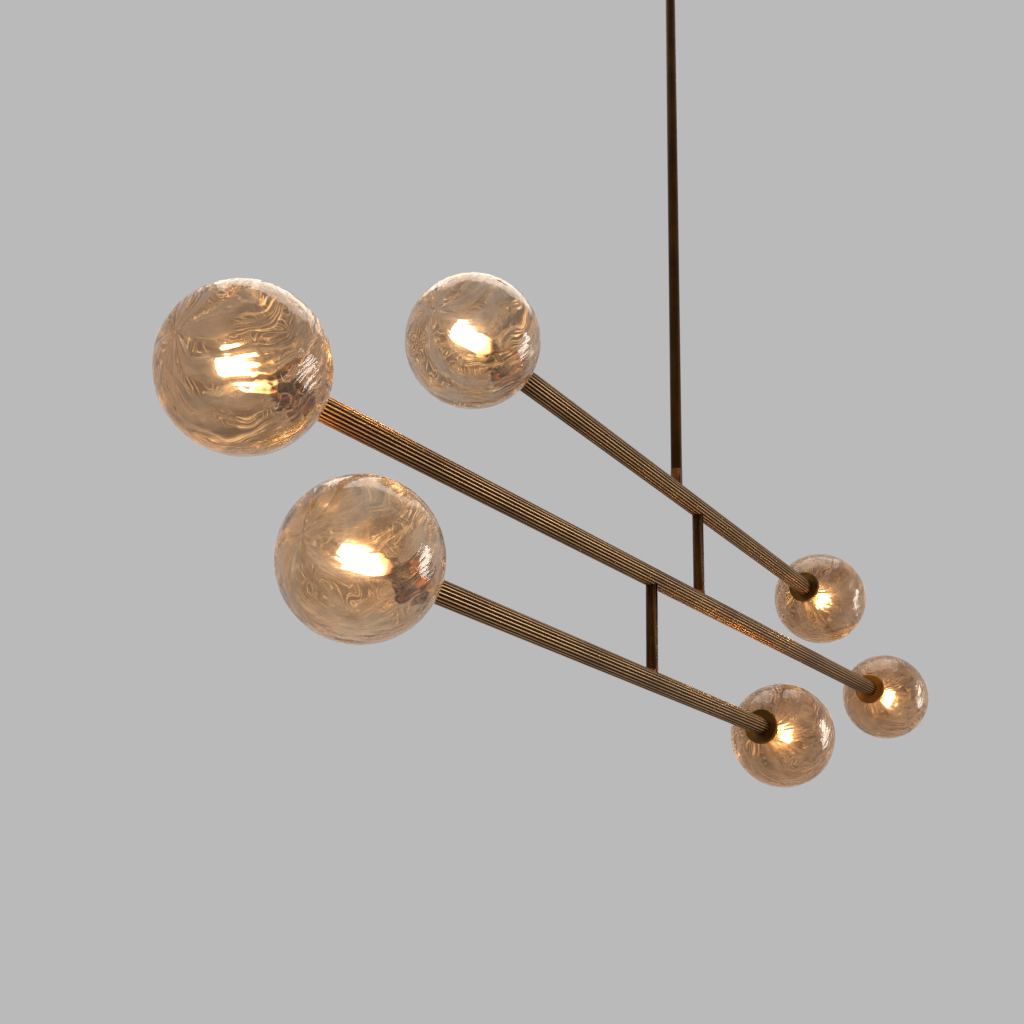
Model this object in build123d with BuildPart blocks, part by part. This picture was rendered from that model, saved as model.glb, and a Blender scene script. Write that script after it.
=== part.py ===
from build123d import *

import os
from math import asin, cos, degrees, radians, sin, sqrt, tan

# All sizes are in millimetres. +Z is up, the origin is the centre of the ceiling face, and the
# middle arm runs along X.

# Canopy: a spun brass pan that covers the junction box
canopy_diameter = 150.0
canopy_depth = 24.0
canopy_wall = 1.5
canopy_corner = 4.0

# Crossbar: a steel strap that screws to the junction box and carries the canopy
crossbar_length = 120.0
crossbar_width = 22.0
crossbar_thickness = 2.5
crossbar_wire_hole = 10.3
box_screw_spacing = 80.0
box_slot_length = 17.0
box_slot_width = 4.5
stud_spacing = 108.0
stud_diameter = 4.2
stud_nut_width = 8.0
stud_nut_height = 3.2
stud_below_canopy = 7.0
ground_screw_offset = 20.0
ground_screw_diameter = 3.8
ground_screw_length = 8.0
ground_screw_head = 7.0
ground_screw_head_height = 3.0
cap_nut_diameter = 11.0
cap_nut_height = 10.0
cap_nut_crown = 2.0

# Ball swivel: lets the stem hang plumb under a sloping ceiling
ball_depth = 41.0
ball_diameter = 24.0
ball_clearance = 0.3
ball_neck_diameter = 9.0
ball_wire_bore = 6.0
ball_spigot_diameter = 9.5
ball_spigot_length = 12.0
stem_below_ball = 18.5
swivel_diameter = 34.0
swivel_edge = 1.5
swivel_neck_diameter = 16.0
swivel_neck_length = 10.5
swivel_wire_bore = 9.0
lock_nut_width = 24.0
lock_nut_height = 6.0
cap_height = 13.5
cap_joint_diameter = 29.0
cap_joint_height = 3.5
mouth_depth = 9.0
tilt_limit = 20.0
tilt_margin = 5.0

# Stem and spacers: plain round tube
tube_diameter = 15.0
tube_bore = 12.0
tube_plug_length = 15.0
stem_length = 914.0

# Arms: fluted brass tube, three tiers at equal drops
arm_diameter = 25.4
arm_bore = 21.4
flute_count = 20
flute_radius = 1.9
flute_depth = 0.9
tier_drop = 135.0
upper_arm_left = 425.5
upper_arm_right = 489.5
middle_arm_left = 756.0
middle_arm_right = 617.0
lower_arm_left = 478.5
lower_arm_right = 329.0
upper_arm_angle = 3.7
middle_arm_angle = 0.0
lower_arm_angle = 1.6
upper_spacer_offset = 67.5
lower_spacer_offset = -129.0

# Turning joints between the tiers
stem_collar_height = 20.0
spacer_collar_height = 1.5
collar_diameter = 15.6
post_diameter = 9.0
post_length = 36.0
post_wire_bore = 6.0
socket_length = 38.0
joint_stud_diameter = 10.0
joint_stud_length = 9.0
joint_block_margin = 15.0
block_wire_bore = 8.0
end_plug_length = 16.0
set_screw_diameter = 4.0
set_screw_height = 21.5
set_screw_pitch = 15.0
set_screw_recess = 0.3
set_screw_socket = 2.0
set_screw_socket_depth = 1.2

# Lamp ends, one at each end of each arm
fitter_diameter = 50.0
fitter_seat_diameter = 26.4
fitter_dish = 1.5
fitter_thickness = 4.0
fitter_rim_round = 1.2
hub_length = 8.0
cup_diameter = 25.4
cup_wall = 1.2
cup_lip_round = 0.5
cup_base = 2.0
cup_length = 40.0
cup_spigot_diameter = 10.0
cup_spigot_reach = 12.0
cup_wire_bore = 6.0
holder_diameter = 19.0
holder_flange_diameter = 22.0
holder_flange_height = 3.0
holder_length = 25.0
holder_recess = 8.0
bulb_base_diameter = 16.0
bulb_diameter = 20.8
bulb_shoulder = 4.0
bulb_length = 72.0
bulb_tip_radius = 7.0
pin_diameter = 1.5
pin_length = 8.0
pin_spacing = 9.0

# Globes: blown by hand, so no two are quite alike in size
upper_left_globe = 142.0
upper_right_globe = 151.0
middle_left_globe = 154.0
middle_right_globe = 145.0
lower_left_globe = 156.0
lower_right_globe = 152.0
glass_wall = 2.5
neck_diameter = 43.0
neck_rim = 2.0
collar_wall = 2.0
collar_length = 8.5
collar_flange_diameter = 48.0
collar_flange_thickness = 1.2

# Clearances
running_fit = 0.1
loose_fit = 0.3

# Heights that follow from the sizes above, measured up from the ceiling face
canopy_face = -canopy_depth
ball_height = -ball_depth
stem_top = ball_height - stem_below_ball
stem_bottom = stem_top - stem_length
upper_height = stem_bottom - stem_collar_height - arm_diameter / 2
middle_height = upper_height - tier_drop
lower_height = middle_height - tier_drop
spacer_length = tier_drop - arm_diameter - spacer_collar_height


def heading(angle):
    """The level direction at an angle from X, seen from above."""
    return Vector(cos(radians(angle)), sin(radians(angle)), 0)


# Pivot of each arm: the stem's axis, then each spacer's axis in turn
upper_direction = heading(upper_arm_angle)
middle_direction = heading(middle_arm_angle)
lower_direction = heading(lower_arm_angle)
upper_pivot = Vector(0, 0, upper_height)
upper_spacer_top = upper_pivot + upper_direction * upper_spacer_offset
middle_pivot = Vector(upper_spacer_top.X, upper_spacer_top.Y, middle_height)
lower_spacer_top = middle_pivot + middle_direction * lower_spacer_offset
lower_pivot = Vector(lower_spacer_top.X, lower_spacer_top.Y, lower_height)

# Places along a lamp's axis, measured outward from the end of its arm
hub_front = fitter_thickness + hub_length
cup_floor = hub_front + cup_base
cup_front = hub_front + cup_length
holder_front = cup_floor + holder_length
recess_floor = holder_front - holder_recess
bulb_tail = recess_floor + loose_fit
bulb_tip = bulb_tail + bulb_length
collar_back = fitter_thickness + loose_fit
flange_front = collar_back + collar_flange_thickness
collar_front = collar_back + collar_length
neck_plane = flange_front + running_fit

# Radii of the nested rings at the globe's neck, from the glass inward
collar_radius = neck_diameter / 2 - running_fit
collar_bore_radius = collar_radius - collar_wall
hub_radius = collar_bore_radius - loose_fit

os.makedirs("parts", exist_ok=True)


def save(piece, name):
    """Labels a finished piece and writes its file."""
    piece.part.label = name
    export_step(piece.part, f"parts/{name}.step")


# Crossbar with its two slots for the junction box screws
with BuildPart() as crossbar:
    with BuildSketch(Plane.XY):
        SlotOverall(crossbar_length, crossbar_width)
        Circle(crossbar_wire_hole / 2, mode=Mode.SUBTRACT)
        with GridLocations(box_screw_spacing, 1, 2, 1):
            SlotOverall(box_slot_length, box_slot_width, mode=Mode.SUBTRACT)
        with GridLocations(stud_spacing, 1, 2, 1):
            Circle(stud_diameter / 2 + running_fit, mode=Mode.SUBTRACT)
        with Locations((ground_screw_offset, 0)):
            Circle(ground_screw_diameter / 2 + running_fit, mode=Mode.SUBTRACT)
    extrude(amount=-crossbar_thickness)
save(crossbar, "crossbar")

# Two canopy studs with their nuts, and the ground screw between them
with BuildPart() as crossbar_screws:
    with BuildSketch(Plane.XY):
        with GridLocations(stud_spacing, 1, 2, 1):
            Circle(stud_diameter / 2)
    extrude(amount=-(canopy_depth + stud_below_canopy))
    with BuildSketch(Plane.XY.offset(-crossbar_thickness)):
        with GridLocations(stud_spacing, 1, 2, 1):
            RegularPolygon(stud_nut_width / 2, 6, major_radius=False)
    extrude(amount=-stud_nut_height)
    with BuildSketch(Plane.XY):
        with Locations((ground_screw_offset, 0)):
            Circle(ground_screw_diameter / 2)
    extrude(amount=-ground_screw_length)
    with BuildSketch(Plane.XY.offset(-crossbar_thickness)):
        with Locations((ground_screw_offset, 0)):
            RegularPolygon(ground_screw_head / 2, 6, major_radius=False)
    extrude(amount=-ground_screw_head_height)
save(crossbar_screws, "crossbar_screws")

# Canopy: a spun pan with a rounded lower edge, open at the ceiling
with BuildPart() as canopy:
    with BuildSketch(Plane.XY):
        Circle(canopy_diameter / 2)
    extrude(amount=-canopy_depth)
    fillet(canopy.edges().group_by(Axis.Z)[0], canopy_corner)
    offset(amount=-canopy_wall, openings=canopy.faces().sort_by(Axis.Z)[-1])
    with BuildSketch(Plane.XY):
        Circle(swivel_neck_diameter / 2 + loose_fit)
        with GridLocations(stud_spacing, 1, 2, 1):
            Circle(stud_diameter / 2 + loose_fit)
    extrude(amount=-canopy_depth, mode=Mode.SUBTRACT)
save(canopy, "canopy")

# Domed cap nuts that hold the canopy up on its studs
with BuildPart() as canopy_cap_nuts:
    with BuildSketch(Plane.XY.offset(canopy_face)):
        with GridLocations(stud_spacing, 1, 2, 1):
            Circle(cap_nut_diameter / 2)
    extrude(amount=-cap_nut_height)
    fillet(canopy_cap_nuts.edges().group_by(Axis.Z)[0], (cap_nut_diameter - cap_nut_crown) / 2)
    with BuildSketch(Plane.XY.offset(canopy_face)):
        with GridLocations(stud_spacing, 1, 2, 1):
            Circle(stud_diameter / 2 + running_fit)
    extrude(amount=-(stud_below_canopy + loose_fit), mode=Mode.SUBTRACT)
save(canopy_cap_nuts, "canopy_cap_nuts")

# Swivel housing: a neck up through the canopy and a socket over the upper half of the ball
seat_radius = ball_diameter / 2 + ball_clearance
with BuildPart() as swivel_housing:
    with BuildSketch(Plane.XY.offset(ball_height)):
        Circle(swivel_diameter / 2)
    extrude(amount=ball_depth - canopy_depth)
    chamfer(swivel_housing.edges().group_by(Axis.Z)[-1], swivel_edge)
    with BuildSketch(Plane.XY.offset(canopy_face)):
        Circle(swivel_neck_diameter / 2)
    extrude(amount=swivel_neck_length)
    with Locations((0, 0, ball_height)):
        Sphere(seat_radius, mode=Mode.SUBTRACT)
    with BuildSketch(Plane.XY.offset(ball_height)):
        Circle(swivel_wire_bore / 2)
    extrude(amount=ball_depth, mode=Mode.SUBTRACT)
    with BuildSketch(Plane.XY.offset(ball_height)):
        Circle(cap_joint_diameter / 2)
    extrude(amount=cap_joint_height, mode=Mode.SUBTRACT)
save(swivel_housing, "swivel_housing")

# Swivel cap: the ring below the ball, with a flared mouth for the tilting neck
mouth_radius = sqrt(seat_radius**2 - mouth_depth**2)
mouth_flare = (cap_height - mouth_depth) * tan(radians(tilt_limit + tilt_margin))
cap_joint_radius = cap_joint_diameter / 2 - running_fit
cap_joint_top = cap_joint_height - loose_fit
swivel_profile = Plane(origin=(0, 0, ball_height), x_dir=(1, 0, 0), z_dir=(0, -1, 0))
with BuildPart() as swivel_cap:
    with BuildSketch(swivel_profile):
        with BuildLine():
            seat = CenterArc((0, 0), seat_radius, 0, -90)
            Polyline(
                seat @ 0,
                (seat_radius, cap_joint_top),
                (cap_joint_radius, cap_joint_top),
                (cap_joint_radius, 0),
                (swivel_diameter / 2, 0),
                (swivel_diameter / 2, swivel_edge - cap_height),
                (swivel_diameter / 2 - swivel_edge, -cap_height),
                (0, -cap_height),
                seat @ 1,
            )
        make_face()
    revolve(axis=Axis.Z)
    with BuildSketch(swivel_profile):
        with BuildLine():
            Polyline(
                (0, 0),
                (mouth_radius, 0),
                (mouth_radius, -mouth_depth),
                (mouth_radius + mouth_flare, -cap_height),
                (0, -cap_height),
                close=True,
            )
        make_face()
    revolve(axis=Axis.Z, mode=Mode.SUBTRACT)
save(swivel_cap, "swivel_cap")

# Lock nut inside the canopy, on the housing's neck
with BuildPart() as swivel_lock_nut:
    with BuildSketch(Plane.XY.offset(canopy_face + canopy_wall)):
        RegularPolygon(lock_nut_width / 2, 6, major_radius=False)
        Circle(swivel_neck_diameter / 2 + running_fit, mode=Mode.SUBTRACT)
    extrude(amount=lock_nut_height)
save(swivel_lock_nut, "swivel_lock_nut")

# Ball with its neck and the hollow spigot that screws into the stem
with BuildPart() as swivel_ball:
    with Locations((0, 0, ball_height)):
        Sphere(ball_diameter / 2)
    with BuildSketch(Plane.XY.offset(ball_height)):
        Circle(ball_neck_diameter / 2)
    extrude(amount=-stem_below_ball)
    with BuildSketch(Plane.XY.offset(stem_top)):
        Circle(ball_spigot_diameter / 2)
    extrude(amount=-ball_spigot_length)
    with BuildSketch(Plane.XY.offset(ball_height + ball_diameter)):
        Circle(ball_wire_bore / 2)
    extrude(amount=stem_top - ball_spigot_length - ball_height - ball_diameter, mode=Mode.SUBTRACT)
save(swivel_ball, "swivel_ball")


def drill(plane, diameter, depth):
    """Bores a round hole into the piece being built, along the plane's normal."""
    with BuildSketch(plane) as hole:
        Circle(diameter / 2)
    extrude(hole.sketch, amount=depth, mode=Mode.SUBTRACT)


def set_screw_planes(foot, side):
    """Planes on a tube's axis where its two set screws enter, each square to the tube."""
    low = set_screw_height - set_screw_pitch / 2
    high = set_screw_height + set_screw_pitch / 2
    return [Plane(origin=foot + Vector(0, 0, height), z_dir=side) for height in (low, high)]


def set_screws(name, foot, side):
    """Grub screws in a tube's foot, just clear of the post that they grip."""
    reach = tube_diameter / 2 - set_screw_recess
    tip = post_diameter / 2 + loose_fit
    with BuildPart() as screws:
        for plane in set_screw_planes(foot, side):
            with BuildSketch(plane.offset(tip)):
                Circle(set_screw_diameter / 2 - running_fit)
        extrude(amount=reach - tip)
        for plane in set_screw_planes(foot, side):
            with BuildSketch(plane.offset(reach)):
                RegularPolygon(set_screw_socket / 2, 6, major_radius=False)
        extrude(amount=-set_screw_socket_depth, mode=Mode.SUBTRACT)
    save(screws, name)


def drill_foot(foot, side):
    """Bores a tube's foot for the post below it, and taps it for the set screws."""
    drill(Plane(origin=foot), post_diameter + 2 * running_fit, socket_length)
    for plane in set_screw_planes(foot, side):
        drill(plane, set_screw_diameter, tube_diameter)


# Stem: one long tube, tapped at the top for the ball and bored at the foot for the upper post
stem_foot = Vector(0, 0, stem_bottom)
stem_screw_side = Vector(0, 1, 0)
with BuildPart() as stem:
    with BuildSketch(Plane(origin=stem_foot)):
        Circle(tube_diameter / 2)
    extrude(amount=stem_length)
    drill(
        Plane.XY.offset(stem_bottom + socket_length),
        tube_bore,
        stem_length - socket_length - tube_plug_length,
    )
    drill(
        Plane.XY.offset(stem_top - tube_plug_length),
        ball_spigot_diameter + 2 * running_fit,
        tube_plug_length,
    )
    drill_foot(stem_foot, stem_screw_side)
save(stem, "stem")
set_screws("stem_set_screws", stem_foot, stem_screw_side)


def arm_plane(pivot, direction):
    """The plane square to an arm at its pivot, with its normal along the arm."""
    return Plane(origin=pivot, x_dir=direction.cross(Vector(0, 0, 1)), z_dir=direction)


def drill_arm(pivot, direction, spacer_offset):
    """Drills an arm or its joint block for the post above, and for a spacer that hangs below."""
    hole = joint_stud_diameter + 2 * running_fit
    drill(Plane(origin=pivot), hole, arm_diameter)
    if spacer_offset is not None:
        drill(Plane(origin=pivot + direction * spacer_offset), hole, -arm_diameter)


def fluted_arm(name, pivot, direction, left, right, spacer_offset):
    """One arm: a fluted tube with the holes for its joints."""
    with BuildPart() as arm:
        with BuildSketch(arm_plane(pivot, direction).offset(-left)):
            Circle(arm_diameter / 2)
            with PolarLocations(arm_diameter / 2 - flute_depth + flute_radius, flute_count):
                Circle(flute_radius, mode=Mode.SUBTRACT)
            Circle(arm_bore / 2, mode=Mode.SUBTRACT)
        extrude(amount=left + right)
        drill_arm(pivot, direction, spacer_offset)
    save(arm, name)


def arm_inserts(name, pivot, direction, left, right, spacer_offset):
    """The solid brass inside an arm: the block at its joints, and a tapped plug at each end."""
    plane = arm_plane(pivot, direction)
    insert_radius = arm_bore / 2 - running_fit
    block_left = min(0, spacer_offset or 0) - joint_block_margin
    block_right = max(0, spacer_offset or 0) + joint_block_margin
    with BuildPart() as inserts:
        with BuildSketch(plane.offset(block_left)):
            Circle(insert_radius)
            Circle(block_wire_bore / 2, mode=Mode.SUBTRACT)
        extrude(amount=block_right - block_left)
        drill_arm(pivot, direction, spacer_offset)
        with BuildSketch(plane.offset(-left), plane.offset(right - end_plug_length)):
            Circle(insert_radius)
            Circle(cup_spigot_diameter / 2 + running_fit, mode=Mode.SUBTRACT)
        extrude(amount=end_plug_length)
    save(inserts, name)


def cope(pivot, direction):
    """Cuts the round of an arm out of the piece being built, so that it saddles the arm."""
    drill(arm_plane(pivot, direction).offset(-tube_diameter), arm_diameter, 2 * tube_diameter)


def post(name, pivot, direction, collar_height):
    """The joint on top of an arm: a coped collar, a round post above and a tapped stud below."""
    crown = pivot + Vector(0, 0, arm_diameter / 2)
    stud_foot = crown - Vector(0, 0, joint_stud_length)
    with BuildPart() as piece:
        with BuildSketch(Plane(origin=pivot)):
            Circle(collar_diameter / 2)
        extrude(amount=arm_diameter / 2 + collar_height)
        cope(pivot, direction)
        with BuildSketch(Plane(origin=stud_foot)):
            Circle(joint_stud_diameter / 2)
        extrude(amount=joint_stud_length)
        with BuildSketch(Plane(origin=crown)):
            Circle(post_diameter / 2)
        extrude(amount=collar_height + post_length)
        drill(
            Plane(origin=stud_foot),
            post_wire_bore,
            joint_stud_length + collar_height + post_length,
        )
    save(piece, name)


def spacer(name, top, direction, side):
    """A spacer tube: coped and studded to the arm above, bored at its foot for the post below."""
    keel = top - Vector(0, 0, arm_diameter / 2)
    foot = keel - Vector(0, 0, spacer_length)
    plug = keel - Vector(0, 0, tube_plug_length)
    plug_and_stud = tube_plug_length + joint_stud_length
    with BuildPart() as piece:
        with BuildSketch(Plane(origin=foot)):
            Circle(tube_diameter / 2)
        extrude(amount=spacer_length + arm_diameter / 2)
        cope(top, direction)
        drill(
            Plane(origin=foot + Vector(0, 0, socket_length)),
            tube_bore,
            spacer_length - socket_length - tube_plug_length,
        )
        with BuildSketch(Plane(origin=plug)):
            Circle(joint_stud_diameter / 2)
        extrude(amount=plug_and_stud)
        drill(Plane(origin=plug), post_wire_bore, plug_and_stud)
        drill_foot(foot, side)
    save(piece, name)
    set_screws(f"{name}_set_screws", foot, side)


spacer_screw_side = Vector(0, -1, 0)
spacer("upper_spacer", upper_spacer_top, upper_direction, spacer_screw_side)
spacer("lower_spacer", lower_spacer_top, middle_direction, spacer_screw_side)
post("upper_post", upper_pivot, upper_direction, stem_collar_height)
post("middle_post", middle_pivot, middle_direction, spacer_collar_height)
post("lower_post", lower_pivot, lower_direction, spacer_collar_height)


def axial_plane(end, outward):
    """A plane through a lamp's axis: local x runs out along the axis, and local y is the radius."""
    return Plane(origin=end, x_dir=outward, z_dir=outward.cross(Vector(0, 0, 1)))


def cross_plane(end, outward, distance):
    """A plane square to a lamp's axis, at a distance out from the arm's end."""
    across = outward.cross(Vector(0, 0, 1))
    return Plane(origin=end + outward * distance, x_dir=across, z_dir=outward)


def turned(name, end, outward, outline, rounded=None):
    """A piece turned about a lamp's axis, from its outline as (distance, radius) points.

    The last argument maps a radius to the round that the outline's corners on it get.
    """
    with BuildPart() as piece:
        with BuildSketch(axial_plane(end, outward)):
            with BuildLine():
                Polyline(*outline, close=True)
            make_face()
        revolve(axis=Axis(end, outward))
        for radius, size in (rounded or {}).items():
            rims = piece.edges().filter_by(GeomType.CIRCLE)
            fillet(rims.filter_by(lambda rim: abs(rim.radius - radius) < size / 2), size)
    save(piece, name)


def fitter_disc(name, end, outward):
    """The dished disc at the arm's end, with the hub that carries the globe."""
    rim = fitter_diameter / 2
    bore = cup_spigot_diameter / 2 + running_fit
    outline = [
        (0, bore),
        (0, fitter_seat_diameter / 2),
        (-fitter_dish, rim),
        (fitter_thickness, rim),
        (fitter_thickness, hub_radius),
        (hub_front, hub_radius),
        (hub_front, bore),
    ]
    turned(name, end, outward, outline, {rim: fitter_rim_round})


def lamp_cup(name, end, outward):
    """The cup round the lampholder, with the hollow spigot that clamps the disc to the arm."""
    outer = cup_diameter / 2
    inner = outer - cup_wall
    outline = [
        (-cup_spigot_reach, cup_wire_bore / 2),
        (-cup_spigot_reach, cup_spigot_diameter / 2),
        (hub_front, cup_spigot_diameter / 2),
        (hub_front, outer),
        (cup_front, outer),
        (cup_front, inner),
        (cup_floor, inner),
        (cup_floor, cup_wire_bore / 2),
    ]
    turned(name, end, outward, outline, {outer: cup_lip_round})


def lampholder(name, end, outward):
    """The ceramic holder in the cup, with a recess for the bulb's base and two pin holes."""
    with BuildPart() as holder:
        with BuildSketch(cross_plane(end, outward, cup_floor)):
            Circle(holder_flange_diameter / 2)
        extrude(amount=holder_flange_height)
        with BuildSketch(cross_plane(end, outward, cup_floor)):
            Circle(holder_diameter / 2)
        extrude(amount=holder_length)
        drill(
            cross_plane(end, outward, recess_floor),
            bulb_base_diameter + 2 * loose_fit,
            holder_recess,
        )
        with BuildSketch(cross_plane(end, outward, recess_floor)):
            with GridLocations(pin_spacing, 1, 2, 1):
                Circle(pin_diameter / 2 + running_fit)
        extrude(amount=-(pin_length + loose_fit), mode=Mode.SUBTRACT)
    save(holder, name)


def bulb(name, end, outward):
    """A frosted capsule bulb: two pins, a base, a shoulder, straight glass and a rounded tip."""
    base = bulb_base_diameter / 2
    glass = bulb_diameter / 2
    shoulder = holder_front + loose_fit
    with BuildPart() as lamp:
        with BuildSketch(axial_plane(end, outward)):
            with BuildLine():
                tip = CenterArc(
                    (bulb_tip - bulb_tip_radius, glass - bulb_tip_radius), bulb_tip_radius, 90, -90
                )
                Polyline(
                    tip @ 1,
                    (bulb_tip, 0),
                    (bulb_tail, 0),
                    (bulb_tail, base),
                    (shoulder, base),
                    (shoulder + bulb_shoulder, glass),
                    tip @ 0,
                )
            make_face()
        revolve(axis=Axis(end, outward))
        with BuildSketch(cross_plane(end, outward, bulb_tail)):
            with GridLocations(pin_spacing, 1, 2, 1):
                Circle(pin_diameter / 2)
        extrude(amount=-pin_length)
    save(lamp, name)


def globe_collar(name, end, outward):
    """The brass ring in the globe's neck, which screws over the hub, with a flange behind."""
    flange = collar_flange_diameter / 2
    outline = [
        (collar_back, collar_bore_radius),
        (collar_back, flange),
        (flange_front, flange),
        (flange_front, collar_radius),
        (collar_front, collar_radius),
        (collar_front, collar_bore_radius),
    ]
    turned(name, end, outward, outline)


def globe(name, end, outward, diameter):
    """A blown globe of even wall, opened at its neck and ground flat there."""
    hole = neck_diameter / 2
    outer = diameter / 2
    inner = outer - glass_wall
    centre = neck_plane + sqrt(outer**2 - (hole + neck_rim) ** 2)
    outer_turn = 180 - degrees(asin((hole + neck_rim) / outer))
    inner_turn = 180 - degrees(asin(hole / inner))
    with BuildPart() as glass:
        with BuildSketch(axial_plane(end, outward)):
            with BuildLine():
                outside = CenterArc((centre, 0), outer, 0, outer_turn)
                inside = CenterArc((centre, 0), inner, 0, inner_turn)
                Line(outside @ 0, inside @ 0)
                Polyline(outside @ 1, (neck_plane, hole), inside @ 1)
            make_face()
        revolve(axis=Axis(end, outward))
    save(glass, name)


def tier(name, pivot, direction, left, right, spacer_offset, left_globe, right_globe):
    """One arm with its inserts and the lamp at each end."""
    fluted_arm(f"{name}_arm", pivot, direction, left, right, spacer_offset)
    arm_inserts(f"{name}_arm_inserts", pivot, direction, left, right, spacer_offset)
    for side, outward, reach, diameter in (
        ("left", -direction, left, left_globe),
        ("right", direction, right, right_globe),
    ):
        end = pivot + outward * reach
        fitter_disc(f"{name}_{side}_fitter_disc", end, outward)
        lamp_cup(f"{name}_{side}_lamp_cup", end, outward)
        lampholder(f"{name}_{side}_lampholder", end, outward)
        bulb(f"{name}_{side}_bulb", end, outward)
        globe_collar(f"{name}_{side}_globe_collar", end, outward)
        globe(f"{name}_{side}_globe", end, outward, diameter)


tier(
    "upper",
    upper_pivot,
    upper_direction,
    upper_arm_left,
    upper_arm_right,
    upper_spacer_offset,
    upper_left_globe,
    upper_right_globe,
)
tier(
    "middle",
    middle_pivot,
    middle_direction,
    middle_arm_left,
    middle_arm_right,
    lower_spacer_offset,
    middle_left_globe,
    middle_right_globe,
)
tier(
    "lower",
    lower_pivot,
    lower_direction,
    lower_arm_left,
    lower_arm_right,
    None,
    lower_left_globe,
    lower_right_globe,
)
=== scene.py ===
"""Dresses the linear chandelier: fluted arms, bronze stem, blown glass globes and lit bulbs."""

import logging
import math
from dataclasses import dataclass
from enum import Enum
from typing import Optional, Sequence, Union

import bpy
from mathutils import Matrix, Vector, noise


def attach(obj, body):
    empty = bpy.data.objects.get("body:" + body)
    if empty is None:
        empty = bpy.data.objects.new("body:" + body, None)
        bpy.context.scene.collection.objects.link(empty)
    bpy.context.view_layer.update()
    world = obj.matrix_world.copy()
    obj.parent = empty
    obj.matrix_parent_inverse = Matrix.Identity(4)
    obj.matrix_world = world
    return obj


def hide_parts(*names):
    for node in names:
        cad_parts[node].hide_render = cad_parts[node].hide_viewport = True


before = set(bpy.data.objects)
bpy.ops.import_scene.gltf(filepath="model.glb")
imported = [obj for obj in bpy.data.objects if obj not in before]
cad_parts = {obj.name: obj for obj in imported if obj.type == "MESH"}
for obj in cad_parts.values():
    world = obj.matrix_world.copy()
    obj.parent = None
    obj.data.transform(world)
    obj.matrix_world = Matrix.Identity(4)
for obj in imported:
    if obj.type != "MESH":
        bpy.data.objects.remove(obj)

log = logging.getLogger("chandelier")

MM = 0.001
UP = Vector((0, 0, 1))
Colour = tuple[float, float, float]
Number = Union[int, float]
Outline = Sequence[tuple[float, float]]
MIX_FIRST, MIX_SECOND, MIX_RESULT = 6, 7, 2


def clear_selection() -> None:
    """Leaves edit mode and deselects everything."""
    if bpy.context.object and bpy.context.object.mode != "OBJECT":
        bpy.ops.object.mode_set(mode="OBJECT")
    bpy.ops.object.select_all(action="DESELECT")


def activate(piece: bpy.types.Object) -> None:
    """Makes a piece the only selected and the active object.

    Args:
        piece: The object to work on.
    """
    clear_selection()
    piece.select_set(True)
    bpy.context.view_layer.objects.active = piece


def apply_modifier(piece: bpy.types.Object, kind: str, **settings: object) -> None:
    """Adds a modifier to a piece and applies it.

    Args:
        piece: The object to change.
        kind: The modifier's type.
        settings: Values of the modifier's own properties.
    """
    activate(piece)
    modifier = piece.modifiers.new(kind.title(), kind)
    for key, value in settings.items():
        setattr(modifier, key, value)
    bpy.ops.object.modifier_apply(modifier=modifier.name)


def smooth(piece: bpy.types.Object, degrees: float) -> None:
    """Shades a piece smooth, with creases where faces meet at more than an angle."""
    activate(piece)
    bpy.ops.object.shade_smooth_by_angle(angle=math.radians(degrees))


def place(piece: bpy.types.Object, matrix: Matrix) -> None:
    """Moves a piece's mesh to its place, and leaves the object at the origin."""
    piece.data.transform(matrix)
    piece.matrix_world = Matrix.Identity(4)
    piece.data.update()


def axis_frame(origin: Vector, outward: Vector) -> Matrix:
    """The matrix that takes a piece turned about Z to an axis in the model.

    Args:
        origin: Where the piece's own origin goes.
        outward: The unit direction that the piece's Z axis takes.

    Returns:
        A rigid transform.
    """
    side = outward.cross(UP) if abs(outward.z) < 0.9 else Vector((0, 1, 0))
    first = side.cross(outward)
    rotation = Matrix((first, side, outward)).transposed().to_4x4()
    return Matrix.Translation(origin) @ rotation


class Wire:
    """An output of a shader graph, with arithmetic that adds Math nodes."""

    def __init__(self, graph: "Graph", socket: bpy.types.NodeSocket) -> None:
        """Wraps one socket of a graph."""
        self.graph = graph
        self.socket = socket

    def _math(self, operation: str, *values: Union["Wire", Number]) -> "Wire":
        """Adds a Math node over the given values."""
        return self.graph.node("ShaderNodeMath", {"operation": operation}, dict(enumerate(values)))

    def __add__(self, other: Union["Wire", Number]) -> "Wire":
        """The sum."""
        return self._math("ADD", self, other)

    __radd__ = __add__

    def __sub__(self, other: Union["Wire", Number]) -> "Wire":
        """The difference."""
        return self._math("SUBTRACT", self, other)

    def __rsub__(self, other: Number) -> "Wire":
        """A number less this value."""
        return self._math("SUBTRACT", other, self)

    def __mul__(self, other: Union["Wire", Number]) -> "Wire":
        """The product."""
        return self._math("MULTIPLY", self, other)

    def unary(self, operation: str) -> "Wire":
        """A Math node of one input, such as SINE."""
        return self._math(operation, self)

    def between(self, low: float, high: float) -> "Wire":
        """How far this value lies from low to high, held between 0 and 1 and eased."""
        settings = {"interpolation_type": "SMOOTHSTEP"}
        inputs = {"Value": self, "From Min": low, "From Max": high}
        return self.graph.node("ShaderNodeMapRange", settings, inputs)


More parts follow.
